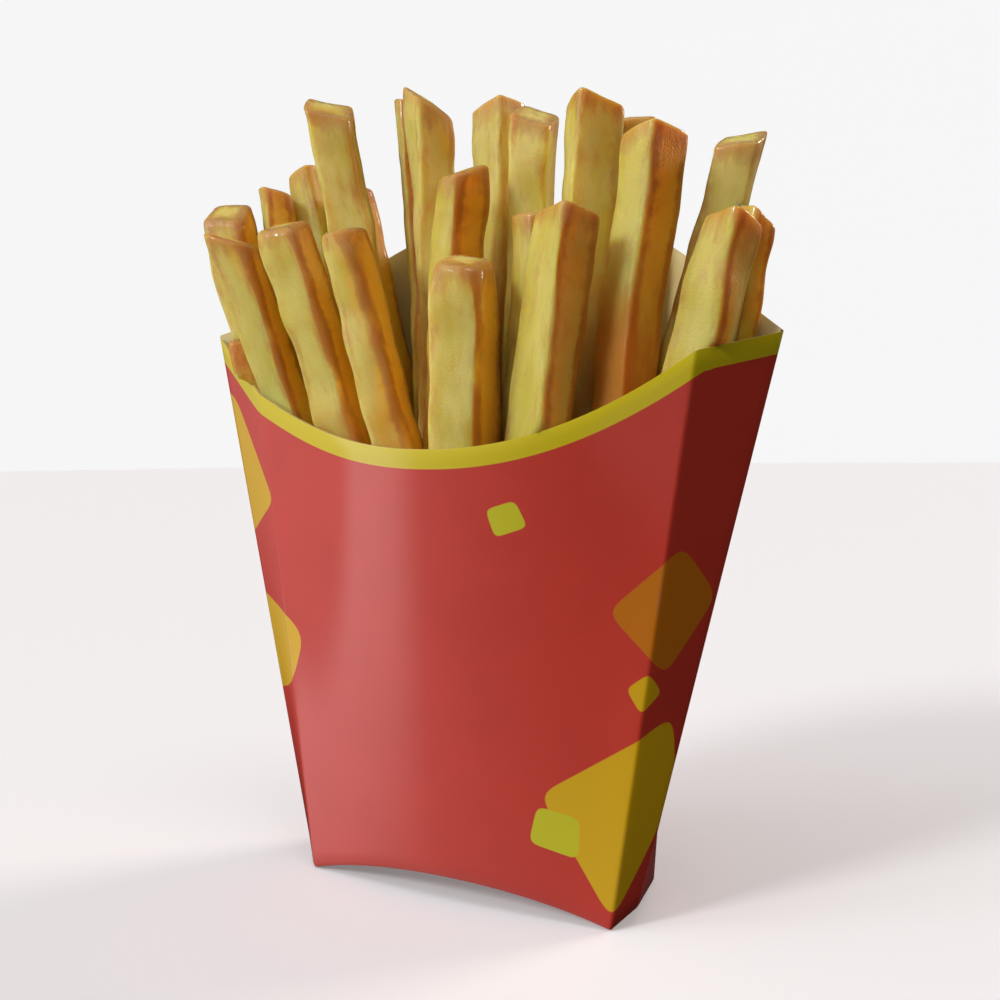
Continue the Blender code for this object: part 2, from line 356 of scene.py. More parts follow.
def rounded_fold(before, fold, after):
    """The lines that round a fold off, on a parabola from one side of it to the other."""
    start, end = (
        tuple(at + (to - at).normalized() * FOLD_ROUNDING for at, to in zip(fold, other))
        for other in (before, after)
    )
    lines = []
    for step in range(FOLD_SEGMENTS + 1):
        share = step / FOLD_SEGMENTS
        lines.append(mixed_line(mixed_line(start, fold, share), mixed_line(fold, end, share), share))
    return lines


def wall_folds():
    """The (foot, top) lines of the six folds, once round from the front's right one."""
    return front_line(1), crease(1), back_line(1), back_line(-1), crease(-1), front_line(-1)


def wall_lines():
    """(foot, top) of each upright line of the wall, once round from the middle of the front's left fold."""
    inner = [2 * step / PANEL_STEPS - 1 for step in range(1, PANEL_STEPS)]
    front_right, right, back_right, back_left, left, front_left = folds = wall_folds()
    runs = [
        [front_line(across) for across in inner],
        between(front_right, right, GUSSET_STEPS),
        between(right, back_right, GUSSET_STEPS),
        [back_line(across) for across in reversed(inner)],
        between(back_left, left, GUSSET_STEPS),
        between(left, front_left, GUSSET_STEPS),
    ]
    lines = []
    for run, fold, following in zip(runs, folds, runs[1:] + runs[:1]):
        lines += run + rounded_fold(run[-1], fold, following[0])
    start = len(lines) - 1 - FOLD_SEGMENTS // 2
    return lines[start:] + lines[:start]


def outline(z, side):
    """The wall's outer line at a height, from the middle of the front round one side to the back's middle."""
    shares = side * np.linspace(0, 1, PANEL_STEPS // 2 + 1)
    front = np.column_stack(front_plan(shares, z))
    back = np.column_stack(back_plan(shares[::-1], z))
    return np.concatenate((front, [crease_point(side, z).xy], back))


def along_outline(line, point):
    """How far along a line of points another point lies, from the nearest place on it."""
    starts, steps = line[:-1], np.diff(line, axis=0)
    lengths = np.hypot(steps[:, 0], steps[:, 1])
    shares = np.clip(((point - starts) * steps).sum(1) / lengths**2, 0, 1)
    nearest = int(((starts + steps * shares[:, None] - point) ** 2).sum(1).argmin())
    return lengths[:nearest].sum() + lengths[nearest] * shares[nearest]


def distance_from_lines(starts, ends, point):
    """How far a point lies from the nearest of some straight lines."""
    steps = ends - starts
    shares = np.clip(((point - starts) * steps).sum(1) / (steps**2).sum(1), 0, 1)
    return float(np.linalg.norm(starts + steps * shares[:, None] - point, axis=1).min())


def put_in_place(shape):
    """Moves a bmesh from millimetres about the middle of the base to its place in metres."""
    bmesh.ops.translate(shape, vec=(CENTRING, 0, 0), verts=shape.verts)
    bmesh.ops.scale(shape, vec=(MM, MM, MM), verts=shape.verts)


def new_piece(name, mesh):
    piece = bpy.data.objects.new(name, mesh)
    bpy.context.scene.collection.objects.link(piece)
    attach(piece, "root")
    return piece


# ---------------------------------------------------------------- shader helpers


class NodeTree:
    """A tree of shader nodes, with short calls for the nodes used here."""

    def __init__(self, tree):
        self.tree = tree

    def node(self, kind, **settings):
        made = self.tree.nodes.new(kind)
        for key, value in settings.items():
            setattr(made, key, value)
        return made

    def join(self, value, socket):
        if isinstance(value, bpy.types.NodeSocket):
            self.tree.links.new(value, socket)
        else:
            socket.default_value = value

    def math(self, operation, a, b=0.0, c=0.0, clamp=False):
        made = self.node("ShaderNodeMath", operation=operation, use_clamp=clamp)
        for value, socket in zip((a, b, c), made.inputs):
            self.join(value, socket)
        return made.outputs[0]

    def dot(self, a, b):
        made = self.node("ShaderNodeVectorMath", operation="DOT_PRODUCT")
        self.join(a, made.inputs[0])
        self.join(b, made.inputs[1])
        return made.outputs["Value"]

    def scaled(self, vector, factors):
        made = self.node("ShaderNodeVectorMath", operation="MULTIPLY")
        self.join(vector, made.inputs[0])
        self.join(factors, made.inputs[1])
        return made.outputs["Vector"]

    def attribute(self, name):
        return self.node("ShaderNodeAttribute", attribute_name=name).outputs["Vector"]

    def split(self, vector):
        made = self.node("ShaderNodeSeparateXYZ")
        self.join(vector, made.inputs[0])
        return made.outputs

    def combine(self, x, y, z):
        made = self.node("ShaderNodeCombineXYZ")
        for value, socket in zip((x, y, z), made.inputs):
            self.join(value, socket)
        return made.outputs[0]

    def noise(self, place, scale, detail=2.0, roughness=0.5):
        made = self.node("ShaderNodeTexNoise")
        self.join(place, made.inputs["Vector"])
        made.inputs["Scale"].default_value = scale
        made.inputs["Detail"].default_value = detail
        made.inputs["Roughness"].default_value = roughness
        return made.outputs["Fac"]

    def ramp(self, value, low, high):
        """0 below low and 1 above high, eased between them."""
        made = self.node("ShaderNodeMapRange", interpolation_type="SMOOTHSTEP")
        self.join(value, made.inputs["Value"])
        made.inputs["From Min"].default_value = low
        made.inputs["From Max"].default_value = high
        return made.outputs["Result"]

    def blend(self, share, first, second):
        made = self.node("ShaderNodeMix", data_type="RGBA")
        self.join(share, made.inputs[0])
        for value, socket in ((first, made.inputs[6]), (second, made.inputs[7])):
            self.join((*value, 1.0) if isinstance(value, tuple) else value, socket)
        return made.outputs[2]

    def over(self, colour, mask, strength, second):
        """The colour with a second one laid over it where the mask is 1, at the strength given."""
        return self.blend(self.math("MULTIPLY", mask, strength), colour, second)

    def bump(self, height, strength, distance):
        made = self.node("ShaderNodeBump")
        made.inputs["Strength"].default_value = strength
        made.inputs["Distance"].default_value = distance
        self.join(height, made.inputs["Height"])
        return made.outputs[0]

    def object_place(self):
        return self.node("ShaderNodeTexCoord").outputs["Object"]


class Shader(NodeTree):
    """A material and its node tree."""

    def __init__(self, name):
        self.material = bpy.data.materials.new(name)
        self.material.use_nodes = True
        super().__init__(self.material.node_tree)
        self.principled = self.tree.nodes["Principled BSDF"]

    def finish(self, colour, roughness, normal=None, **fixed):
        """Joins what varies to the shader, and sets the rest on the shader's own sockets."""
        for value, name in ((colour, "Base Color"), (roughness, "Roughness"), (normal, "Normal")):
            if value is not None:
                self.join(value, self.principled.inputs[name])
        for name, value in fixed.items():
            self.principled.inputs[name.replace("_", " ")].default_value = value
        return self.material


# ---------------------------------------------------------------- carton


def field_mask(shader, place, corners, radius):
    """1 inside a rounded field, from how far a place lies outside each of its edges."""
    distance = None
    for (s, z), (next_s, next_z) in zip(corners, corners[1:] + corners[:1]):
        length = sqrt((next_s - s) ** 2 + (next_z - z) ** 2)
        out_s, out_z = (z - next_z) / length, (next_s - s) / length
        outside = shader.dot(place, (out_s, out_z, -out_s * s - out_z * z))
        if distance is None:
            distance = outside
        else:
            distance = shader.math("SMOOTH_MAX", distance, outside, CORNER_SMOOTHING * radius)
    return shader.math("MULTIPLY_ADD", distance, -1 / INK_SOFTNESS, 0.5, clamp=True)


def printed_board():
    """The outside: red ink with a yellow band below the rim and rounded fields, under a soft gloss."""
    shader = Shader("printed_board")
    front = shader.split(shader.attribute("print_front"))
    back = shader.split(shader.attribute("print_back"))
    edges = shader.split(shader.attribute("print_edges"))
    below_rim, from_fold = edges[0], edges[1]
    on_back = shader.ramp(front[2], 0.45, 0.55)
    on_front = shader.math("SUBTRACT", 1.0, on_back)

    object_place = shader.object_place()
    mottle = shader.noise(object_place, 60.0, 3.0)
    darker = tuple(RED_INK_MOTTLE * channel for channel in RED_INK)
    colour = shader.blend(shader.ramp(mottle, 0.3, 0.7), RED_INK, darker)
    for fields, coords, side in ((FRONT_FIELDS, front, on_front), (BACK_FIELDS, back, on_back)):
        place = shader.combine(coords[0], coords[1], 1.0)
        for ink, radius, corners in fields:
            mask = shader.math("MULTIPLY", field_mask(shader, place, corners, radius), side)
            colour = shader.blend(mask, colour, ink)
    band = shader.math("MULTIPLY_ADD", below_rim, -1 / INK_SOFTNESS, BAND_WIDTH / INK_SOFTNESS, clamp=True)
    colour = shader.blend(band, colour, BAND_INK)
    rub = shader.math("MULTIPLY", shader.ramp(from_fold, 0.5, 0.05), shader.ramp(mottle, 0.45, 0.75))
    colour = shader.over(colour, rub, 0.35, RUBBED_INK)

    pulp = shader.noise(object_place, 900.0, 3.0, 0.6)
    roughness = shader.math("MULTIPLY_ADD", mottle, 0.1, 0.4)
    normal = shader.bump(pulp, 0.08, 0.0002)
    return shader.finish(colour, roughness, normal, IOR=1.3, Coat_Weight=1.0, Coat_Roughness=0.1)


def plain_board():
    """The inside: unprinted board coated a pale yellow."""
    shader = Shader("inner_board")
    object_place = shader.object_place()
    cloud = shader.noise(object_place, 45.0, 3.0)
    colour = shader.blend(cloud, (0.88, 0.73, 0.32), (0.92, 0.78, 0.38))
    pulp = shader.noise(object_place, 900.0, 3.0, 0.6)
    return shader.finish(colour, 0.5, shader.bump(pulp, 0.15, 0.0002))


def cut_board():
    """The board's cut edge: layers of pale fibre."""
    shader = Shader("cut_board")
    object_place = shader.object_place()
    fibre = shader.noise(object_place, 1500.0, 2.0)
    colour = shader.blend(fibre, (0.6, 0.5, 0.12), (0.7, 0.6, 0.3))
    return shader.finish(colour, 0.7, shader.bump(fibre, 0.3, 0.0002))


def carton_cup():
    """The carton's outer surface as an open cup with rounded folds, in millimetres."""
    cup = bmesh.new()
    lines = wall_lines()
    columns = []
    for index, (foot, top) in enumerate(lines):
        tangent = lines[(index + 1) % len(lines)][0] - lines[index - 1][0]
        inwards = foot + Vector((-tangent.y, tangent.x, 0)).normalized() * BASE_ROUNDING
        upwards = foot + (top - foot).normalized() * BASE_ROUNDING
        turned = (inwards + 2 * foot + upwards) / 4
        wall = [upwards.lerp(top, step / WALL_STEPS) for step in range(WALL_STEPS + 1)]
        columns.append([cup.verts.new(point) for point in (inwards, turned, *wall)])
    for column, following in zip(columns, columns[1:] + columns[:1]):
        for low in range(len(column) - 1):
            cup.faces.new((column[low], following[low], following[low + 1], column[low + 1]))
    close_base(cup, [column[0] for column in columns])
    bmesh.ops.recalc_face_normals(cup, faces=cup.faces)
    return cup


def close_base(cup, feet):
    """Adds the arched base between the feet of the front and the back, and its two ends."""
    panel = PANEL_STEPS + FOLD_SEGMENTS
    gusset = 2 * (GUSSET_STEPS + FOLD_SEGMENTS)
    front = feet[: panel + 1]
    back = feet[panel + gusset : 2 * panel + gusset + 1][::-1]
    rows = [front]
    for step in range(1, BASE_STEPS):
        rows.append([cup.verts.new(a.co.lerp(b.co, step / BASE_STEPS)) for a, b in zip(front, back)])
    rows.append(back)
    for near, far in zip(rows, rows[1:]):
        for left in range(panel):
            cup.faces.new((near[left], far[left], far[left + 1], near[left + 1]))
    right_end = feet[panel : panel + gusset + 1] + [row[-1] for row in rows[-2:0:-1]]
    left_end = feet[2 * panel + gusset :] + [row[0] for row in rows[:-1]]
    ends = [cup.faces.new(right_end), cup.faces.new(left_end)]
    bmesh.ops.triangulate(cup, faces=ends)


def print_places(cup):
    """Each point's place on the front's and on the back's print, and how far it is from rim and fold."""
    rim = np.array([top for _, top in wall_lines()])
    fold_feet, fold_tops = (np.array(ends) for ends in zip(*wall_folds()))
    front, back, edges = [], [], []
    for vert in cup.verts:
        side = 1 if vert.co.x >= 0 else -1
        line = outline(vert.co.z, side)
        along = along_outline(line, np.array(vert.co.xy))
        lengths = np.hypot(*np.diff(line, axis=0).T)
        panel_start = lengths[: -(PANEL_STEPS // 2)].sum()
        on_back = 1.0 if along >= panel_start else 0.0
        front.append((side * along, vert.co.z, on_back))
        back.append((side * (lengths.sum() - along), vert.co.z, on_back))
        point = np.array(vert.co)
        from_rim = distance_from_lines(rim, np.roll(rim, -1, axis=0), point)
        edges.append((from_rim, distance_from_lines(fold_feet, fold_tops, point), 0.0))
    return {"print_front": front, "print_back": back, "print_edges": edges}


def add_vectors(mesh, name, values):
    layer = mesh.attributes.new(name, "FLOAT_VECTOR", "POINT")
    layer.data.foreach_set("vector", np.array(values, np.float32).ravel())


def build_carton():
    cup = carton_cup()
    places = print_places(cup)
    put_in_place(cup)
    mesh = bpy.data.meshes.new("carton_board")
    cup.to_mesh(mesh)
    cup.free()
    for name, values in places.items():
        add_vectors(mesh, name, values)
    mesh.shade_smooth()
    for made in (printed_board(), plain_board(), cut_board()):
        mesh.materials.append(made)
    carton = new_piece("carton_board", mesh)
    shell = carton.modifiers.new("Board thickness", "SOLIDIFY")
    shell.thickness = BOARD * MM
    shell.offset = -1
    shell.material_offset = 1
    shell.material_offset_rim = 2
    rounding = carton.modifiers.new("Soft cut edge", "BEVEL")
    rounding.width = CUT_EDGE_WIDTH * MM
    rounding.segments = 2
    rounding.limit_method = "ANGLE"
    rounding.angle_limit = radians(CUT_EDGE_ANGLE)
    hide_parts("carton")


# ---------------------------------------------------------------- fries


def section(half_width, half_depth, radius, bulge):
    """The outline of a rounded rectangle once round, and how near each point is to a corner."""
    points, edge = [], []
    centres = [np.array((x * (half_width - radius), y * (half_depth - radius))) for x, y in CORNER_SIGNS]
    for corner, centre in enumerate(centres):
        turn = corner * pi / 2
        for step in range(CORNER_STEPS + 1):
            angle = turn + step / CORNER_STEPS * pi / 2
            points.append(centre + radius * np.array((cos(angle), sin(angle))))
            edge.append(1.0)
        out = np.array((cos(turn + pi / 2), sin(turn + pi / 2)))
        start = centre + radius * out
        end = centres[(corner + 1) % 4] + radius * out
        for step in range(1, SIDE_STEPS):
            share = step / SIDE_STEPS
            middle = 4 * share * (1 - share)
            points.append(start + (end - start) * share + out * bulge[corner] * middle)
            edge.append((1 - middle) ** 1.5)
    return np.array(points), np.array(edge)


class Waver:
    """A smooth random curve along a fry, made of a few slow waves."""

    def __init__(self, rng):
        self.waves = []
        for weight, length in zip(WAVE_WEIGHTS, WAVE_LENGTHS):
            self.waves.append((weight, 2 * pi / length, rng.uniform(0, 2 * pi)))

    def at(self, along):
        return sum(weight * np.sin(rate * along + phase) for weight, rate, phase in self.waves)


class Fry:
    """The shape of one fry, from its root to its slanted, rounded end."""

    def __init__(self, row, round_end, rng, root_height):
        mouth_x, mouth_y, tip_x, tip_y, tip_z, self.width, self.depth, self.turn, self.twist = row[:9]
        fall_x, fall_y = row[9:]
        self.mouth = np.array((mouth_x, mouth_y, MOUTH_HEIGHT))
        self.tip = np.array((tip_x, tip_y, tip_z))
        self.axis = (self.tip - self.mouth) / np.linalg.norm(self.tip - self.mouth)
        self.length = (tip_z - MOUTH_HEIGHT) / self.axis[2]
        self.root = (root_height - MOUTH_HEIGHT) / self.axis[2]
        self.end_normal = np.array((-fall_x, -fall_y, 1.0))
        self.round_end = round_end
        self.end_radius = END_RADIUS * round_end
        self.edge_radius = EDGE_RADIUS * (0.6 + 0.45 * round_end)
        self.wide, self.deep, self.sway_x, self.sway_y, self.soft = (Waver(rng) for _ in range(5))
        self.bulge = rng.uniform(*SIDE_BULGES, 4)
        self.tint = rng.uniform(0, 1)

    def directions(self, along):
        """The directions of the fry's width and depth at a distance along it."""
        share = along / self.length
        angle = radians(self.turn + self.twist * share)
        across = np.array((cos(angle), sin(angle), 0.0))
        across = across - self.axis * (across @ self.axis)
        across /= np.linalg.norm(across)
        return across, np.cross(self.axis, across)

    def ring(self, along, inset=0.0, shrink=1.0):
        """One outline at a distance along the fry, before it is slid to the slanted end."""
        near_root = min(1.0, max(0.0, 1 - (along - self.root) / ROOT_RADIUS))
        inset += ROOT_RADIUS * (1 - sqrt(1 - near_root**2)) * 0.9
        half_width = self.width / 2 * (1 + SIZE_WAVER * self.wide.at(along)) - inset
        half_depth = self.depth / 2 * (1 + SIZE_WAVER * self.deep.at(along)) - inset
        near_end = min(1.0, max(0.0, 1 - (self.length - along) / END_EDGE_REACH))
        radius = self.edge_radius * (1 + EDGE_WAVER * self.soft.at(along))
        radius *= 1 + END_EDGE_GAIN * self.round_end * near_end**2
        radius = min(max(radius - inset, 0.25), 0.9 * min(half_width, half_depth))
        flat, edge = section(half_width, half_depth, radius, self.bulge)
        flat = flat * shrink

        across, through = self.directions(along)
        fade = min(1.0, max(0.0, (along - self.root) / ROOT_FADE))
        sway = across * self.sway_x.at(along) + through * self.sway_y.at(along)
        centre = self.mouth + self.axis * along + fade * PATH_WAVER * sway
        return centre + np.outer(flat[:, 0], across) + np.outer(flat[:, 1], through), flat, edge

    def slide(self, points, short):
        """Moves points along the fry to its slanted end, or to a distance short of it."""
        gap = (self.tip - points) @ self.end_normal / (self.axis @ self.end_normal)
        return points + np.outer(gap - short, self.axis)

    def rings(self):
        """Each ring's points, their places in the section, where it is along the fry, how near each
        point is to an edge, and how far the ring is from the cut end's rim."""
        whole = self.length - self.root
        count = max(8, int(whole / RING_GAP))
        end_points = self.ring(self.length)[0]
        slant = (self.slide(end_points, self.end_radius) - end_points) @ self.axis
        made = []
        for index in range(count + 1):
            share = index / count
            along = self.root + share * whole
            points, flat, edge = self.ring(along)
            points = points + np.outer(slant * share**2, self.axis)
            made.append((points, flat, along, edge, (whole - share * whole) + self.end_radius))
        for step in range(1, END_STEPS + 1):
            angle = step / END_STEPS * pi / 2
            short = self.end_radius * (1 - sin(angle))
            points, flat, edge = self.ring(self.length, inset=self.end_radius * (1 - cos(angle)))
            made.append((self.slide(points, short), flat, self.length, np.ones(len(edge)), short))
        for shrink in CAP_SHARES:
            points, flat, edge = self.ring(self.length, inset=self.end_radius, shrink=shrink)
            points = self.slide(points, -CAP_CROWN * (1 - shrink))
            edge = np.full(len(edge), max(0.0, 2 * shrink - 1))
            made.append((points, flat, self.length, edge, CAP_REACH * (1 - shrink)))
        return made

    def mesh(self, number):
        """The points, faces and marks of the fry. Its number sets its grain apart from the others'."""
        points, flat, along, edge, to_end = zip(*self.rings())
        around = len(flat[0])
        local = np.column_stack((np.concatenate(flat), np.repeat(along, around)))
        marks = {
            "edge": np.concatenate(edge),
            "to_end": np.repeat(to_end, around),
            "tint": np.full(len(local), self.tint),
            "local": local + np.array((number * 37.0, number * 11.0, 0.0)),
        }
        return np.concatenate(points), tube_faces(len(points), around), marks


def tube_faces(rings, around):
    """The faces of a tube that is closed at both ends."""
    faces = []
    for low in range(rings - 1):
        base = low * around
        for index in range(around):
            after = (index + 1) % around
            faces.append((base + index, base + after, base + around + after, base + around + index))
    faces.append(tuple(range(around))[::-1])
    last = (rings - 1) * around
    faces.append(tuple(range(last, last + around)))
    return faces


def roughen(points, normals, number):
    """Pushes the points in and out by lumps and by a finer grain."""
    offset = Vector((number * 31.7, number * 7.3, 0.0))
    moved = []
    for point, normal in zip(points, normals):
        place = Vector(point)
        lump = noise.noise(place / LUMP_SIZE + offset)
        grain = noise.noise(place / GRAIN_SIZE - offset)
        moved.append(place + Vector(normal) * (LUMP_DEPTH * lump + GRAIN_DEPTH * grain))
    return np.array(moved)


def point_normals(points, faces):
    """The direction outwards at each point, from the four-sided faces round it."""
    normals = np.zeros_like(points)
    quads = np.array([face for face in faces if len(face) == 4])
    a, b, c, d = (points[quads[:, index]] for index in range(4))
    face_normals = np.cross(c - a, d - b)
    for index in range(4):
        np.add.at(normals, quads[:, index], face_normals)
    return normals / np.maximum(np.linalg.norm(normals, axis=1), 1e-9)[:, None]


def keep_inside(points, wall):
    """Moves in what would touch the board, straight away from it."""
    tree, reach = wall
    for index, point in enumerate(points):
        near, normal, _, _ = tree.find_nearest(Vector(point), reach + WALL_SEARCH)
        if near is None:
            continue
        depth = (near - Vector(point)).dot(normal)
        sideways = ((Vector(point) - near) + normal * depth).length
        if depth < reach and sideways < WALL_SLIP:
            points[index] = np.array(near - normal * reach)
    return points


def join_fries(name, parts, skin):
    """One mesh from all the fries given, with the marks that the skin's shader reads."""
    points, faces = [], []
    marks = {"edge": [], "to_end": [], "tint": [], "local": [], "shade_and_toast": [], "foot": [], "wet": []}
    count = 0
    for part_points, part_faces, part_marks in parts:
        points.append(part_points)
        faces += [tuple(index + count for index in face) for face in part_faces]
        count += len(part_points)
        for key in marks:
            marks[key].append(part_marks[key])
    mesh = bpy.data.meshes.new(name)
    mesh.from_pydata(((np.concatenate(points) + (CENTRING, 0, 0)) * MM).tolist(), [], faces)
    joined = {key: np.concatenate(value) for key, value in marks.items()}
    add_vectors(mesh, "fry_marks", np.column_stack((joined["edge"], joined["to_end"], joined["tint"])))
    add_vectors(mesh, "fry_place", joined["local"])
    add_vectors(mesh, "fry_finish", np.column_stack((joined["shade_and_toast"], joined["foot"], joined["wet"])))
    mesh.shade_smooth()
    mesh.materials.append(skin)
    piece = new_piece(name, mesh)
    return piece


def finished_fry(row, look, rng, number, wall, root_height):
    """The points, faces and marks of one fry, roughened, kept off the board, and browned and given painted
    shade as its look says.
    """
    shade_and_brown, foot_shade_height, foot, wet, round_end = look
    points, faces, marks = Fry(row, round_end, rng, root_height).mesh(number)
    normals = point_normals(points, faces)
    # How far each point faces away from the key light; that side is coloured with painted shade, partly real
    # browning.
    marks["shade_and_toast"] = np.clip(normals @ np.array(SHADED_AND_TOASTED_SIDE) * SHADE_AND_TOAST_GAIN, 0, 1) * shade_and_brown
    # Painted shade at the foot, up to the height that the look gives.
    marks["foot"] = np.clip((foot_shade_height - points[:, 2]) / FOOT_SHADE_FADE, 0, 1) * foot
    marks["wet"] = np.full(len(points), wet)
    points = keep_inside(roughen(points, normals, number), wall)
    return points, faces, marks


def filler_rows(rng, wall):
    """Rows for the short fries, placed one by one at random spots that are still free."""
    tree = wall[0]
    shares = [(FILLER_TOP - MOUTH_HEIGHT) / (row[4] - MOUTH_HEIGHT) for row in FRIES]
    taken = []
    for row, share in zip(FRIES, shares):
        taken.append(Vector((mix(row[0], row[2], share), mix(row[1], row[3], share))))
    rows = []
    for _ in range(FILLER_TRIES):
        place = Vector((rng.uniform(*FILLER_FIELD_X), rng.uniform(*FILLER_FIELD_Y)))
        gaps = []
        for z in (FILLER_ROOT, FILLER_TOP):
            near, normal, _, gap = tree.find_nearest((*place, z))
            gaps.append(gap if normal.dot(near - Vector((*place, z))) > 0 else -gap)
        if min(gaps) < FILLER_WALL_GAP or any((place - other).length < FILLER_REACH for other in taken):
            continue
        taken.append(place)
        x, y = place
        top = FILLER_TOP + rng.uniform(-FILLER_TOP_SPREAD, FILLER_TOP_SPREAD)
        lean = (x / FILLER_FAN + rng.uniform(-FILLER_TILT, FILLER_TILT)) * (top - MOUTH_HEIGHT)
        tilt = rng.uniform(-FILLER_TILT, FILLER_TILT) * (top - MOUTH_HEIGHT)
        width, depth = FILLER_SIZE + rng.uniform(-FILLER_SIZE_SPREAD, FILLER_SIZE_SPREAD, 2)
        fall_x, fall_y = rng.uniform(-FILLER_FALL, FILLER_FALL, 2)
        turn = rng.uniform(-FILLER_TURN, FILLER_TURN)
        rows.append((x, y, x + lean, y + tilt, top, width, depth, turn, 0.0, fall_x, fall_y))
    return rows


def pale_flesh(shader, tint, patches, blotches, streaks):
    """The colour of the flesh before it is browned: yellow, with olive patches, streaks and tan spots."""
    pale = shader.blend(tint, PALE_SKIN, DEEPER_SKIN)
    colour = shader.blend(shader.ramp(patches, 0.42, 0.68), pale, OLIVE_SKIN)
    colour = shader.over(colour, shader.ramp(streaks, 0.5, 0.8), 0.2, STREAK_SKIN)
    return shader.over(colour, shader.ramp(blotches, 0.52, 0.72), 0.5, TAN_SKIN)


def shaded_and_browned_side(shader, colour, shade_and_toast, edge, place, patches, blotches):
    """The colour with the toasted side laid over it, which is partly painted shade on the side turned from
    the key light, and a dark ragged stripe of painted shade along that side's edges.
    """
    ragged = shader.math("MULTIPLY_ADD", blotches, 0.3, shader.math("MULTIPLY_ADD", patches, 0.6, -0.45))
    side = shader.ramp(shader.math("ADD", shade_and_toast, ragged), 0.1, 0.75)
    # The side turned from the key light gets painted shade, partly real browning.
    colour = shader.over(colour, side, 0.95, SHADED_AND_TOASTED_SKIN)
    torn = shader.math("MULTIPLY_ADD", shader.noise(place, 0.45, 4.0, 0.6), 1.6, -0.8)
    # A dark stripe of painted shade along the edges of the shaded side.
    shade_stripe = shader.ramp(shader.math("ADD", edge, torn), 0.0, 0.95)
    shade_stripe = shader.math("MULTIPLY", shade_stripe, shader.ramp(patches, 0.3, 0.55))
    shade_stripe = shader.math("MULTIPLY", shade_stripe, shader.ramp(shade_and_toast, 0.1, 0.55))
    return shader.over(colour, shade_stripe, 0.8, SHADE_STRIPE_SKIN)


def fried_skin():
    """Fried potato: pale yellow faces, a browned side that is partly painted shade, brown edges and ends,
    feet darkened with painted shade, and a film of oil.
    """
    shader = Shader("fried_potato")
    place = shader.attribute("fry_place")
    edge, to_end, tint = shader.split(shader.attribute("fry_marks"))
    # The first mark is painted shade on the side turned from the key light, partly real browning; the second
    # is painted shade at the foot.
    shade_and_toast, foot, oiled = shader.split(shader.attribute("fry_finish"))

    stretched = shader.scaled(place, (1.0, 1.0, 0.35))
    patches = shader.noise(stretched, 0.16, 3.0, 0.55)
    blotches = shader.noise(stretched, 0.42, 4.0, 0.6)
    speckle = shader.noise(place, 2.2, 3.0, 0.6)
    streaks = shader.noise(shader.scaled(place, (1.0, 1.0, 0.12)), 0.9, 3.0, 0.55)

    colour = pale_flesh(shader, tint, patches, blotches, streaks)
    colour = shaded_and_browned_side(shader, colour, shade_and_toast, edge, place, patches, blotches)
    worn = shader.math("MULTIPLY_ADD", blotches, 2.4, -0.95, clamp=True)
    rim = shader.math("MULTIPLY", shader.ramp(edge, 0.2, 1.0), worn)
    colour = shader.over(colour, rim, 0.8, RIM_SKIN)
    tip_reach = shader.math("MULTIPLY_ADD", blotches, 14.0, -2.4)
    tip = shader.math("SUBTRACT", 1.0, shader.math("DIVIDE", to_end, tip_reach), clamp=True)
    colour = shader.over(colour, tip, 0.8, TIP_SKIN)
    # Painted shade low on the fry, up to its foot height.
    colour = shader.over(colour, foot, shader.ramp(patches, 0.25, 0.55), FOOT_SHADE_SKIN)
    colour = shader.over(colour, shader.ramp(speckle, 0.62, 0.78), 0.2, SPECK_SKIN)

    oily = shader.math("ADD", shader.math("MULTIPLY", edge, 0.1), shader.math("MULTIPLY", tip, 0.14))
    oily = shader.math("ADD", oily, oiled)
    wet = shader.ramp(shader.math("ADD", streaks, oily), 0.66, 0.8)
    roughness = shader.math("MULTIPLY_ADD", speckle, 0.3, 0.36)
    crust = shader.math("ADD", shader.math("MULTIPLY", blotches, 0.6), shader.math("MULTIPLY", speckle, 0.4))
    normal = shader.bump(crust, 0.5, 0.0007)
    shader.join(wet, shader.principled.inputs["Coat Weight"])
    return shader.finish(
        colour,
        roughness,
        normal,
        IOR=1.4,
        Subsurface_Weight=0.9,
        Subsurface_Radius=(1.0, 0.48, 0.08),
        Subsurface_Scale=0.009,
        Coat_Roughness=0.12,
    )


def build_fries():
    """Every fry and the core under them. It returns the two pieces of fries."""
    rng = np.random.default_rng(SEED)
    cup = carton_cup()
    wall = (BVHTree.FromBMesh(cup), BOARD + WALL_GAP)
    cup.free()
    skin = fried_skin()
    tall = [
        finished_fry(row, look, rng, number, wall, WEDGED_ROOT if number == WEDGED_FRY else ROOT_HEIGHT)
        for number, (row, look) in enumerate(zip(FRIES, FRY_LOOKS), 1)
    ]
    tall.append(finished_fry(PROP_FRY, PROP_LOOK, rng, 0, wall, ROOT_HEIGHT))
    tall_fries = join_fries("tall_fries", tall, skin)
    fillers = [
        finished_fry(row, FILLER_LOOK, rng, number, wall, FILLER_ROOT)
        for number, row in enumerate(filler_rows(rng, wall), len(FRIES) + 1)
    ]
    short_fries = join_fries("short_fries", fillers, skin)
    core = build_core()
    for piece in (tall_fries, short_fries, core):
        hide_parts("fries")
    return tall_fries, short_fries


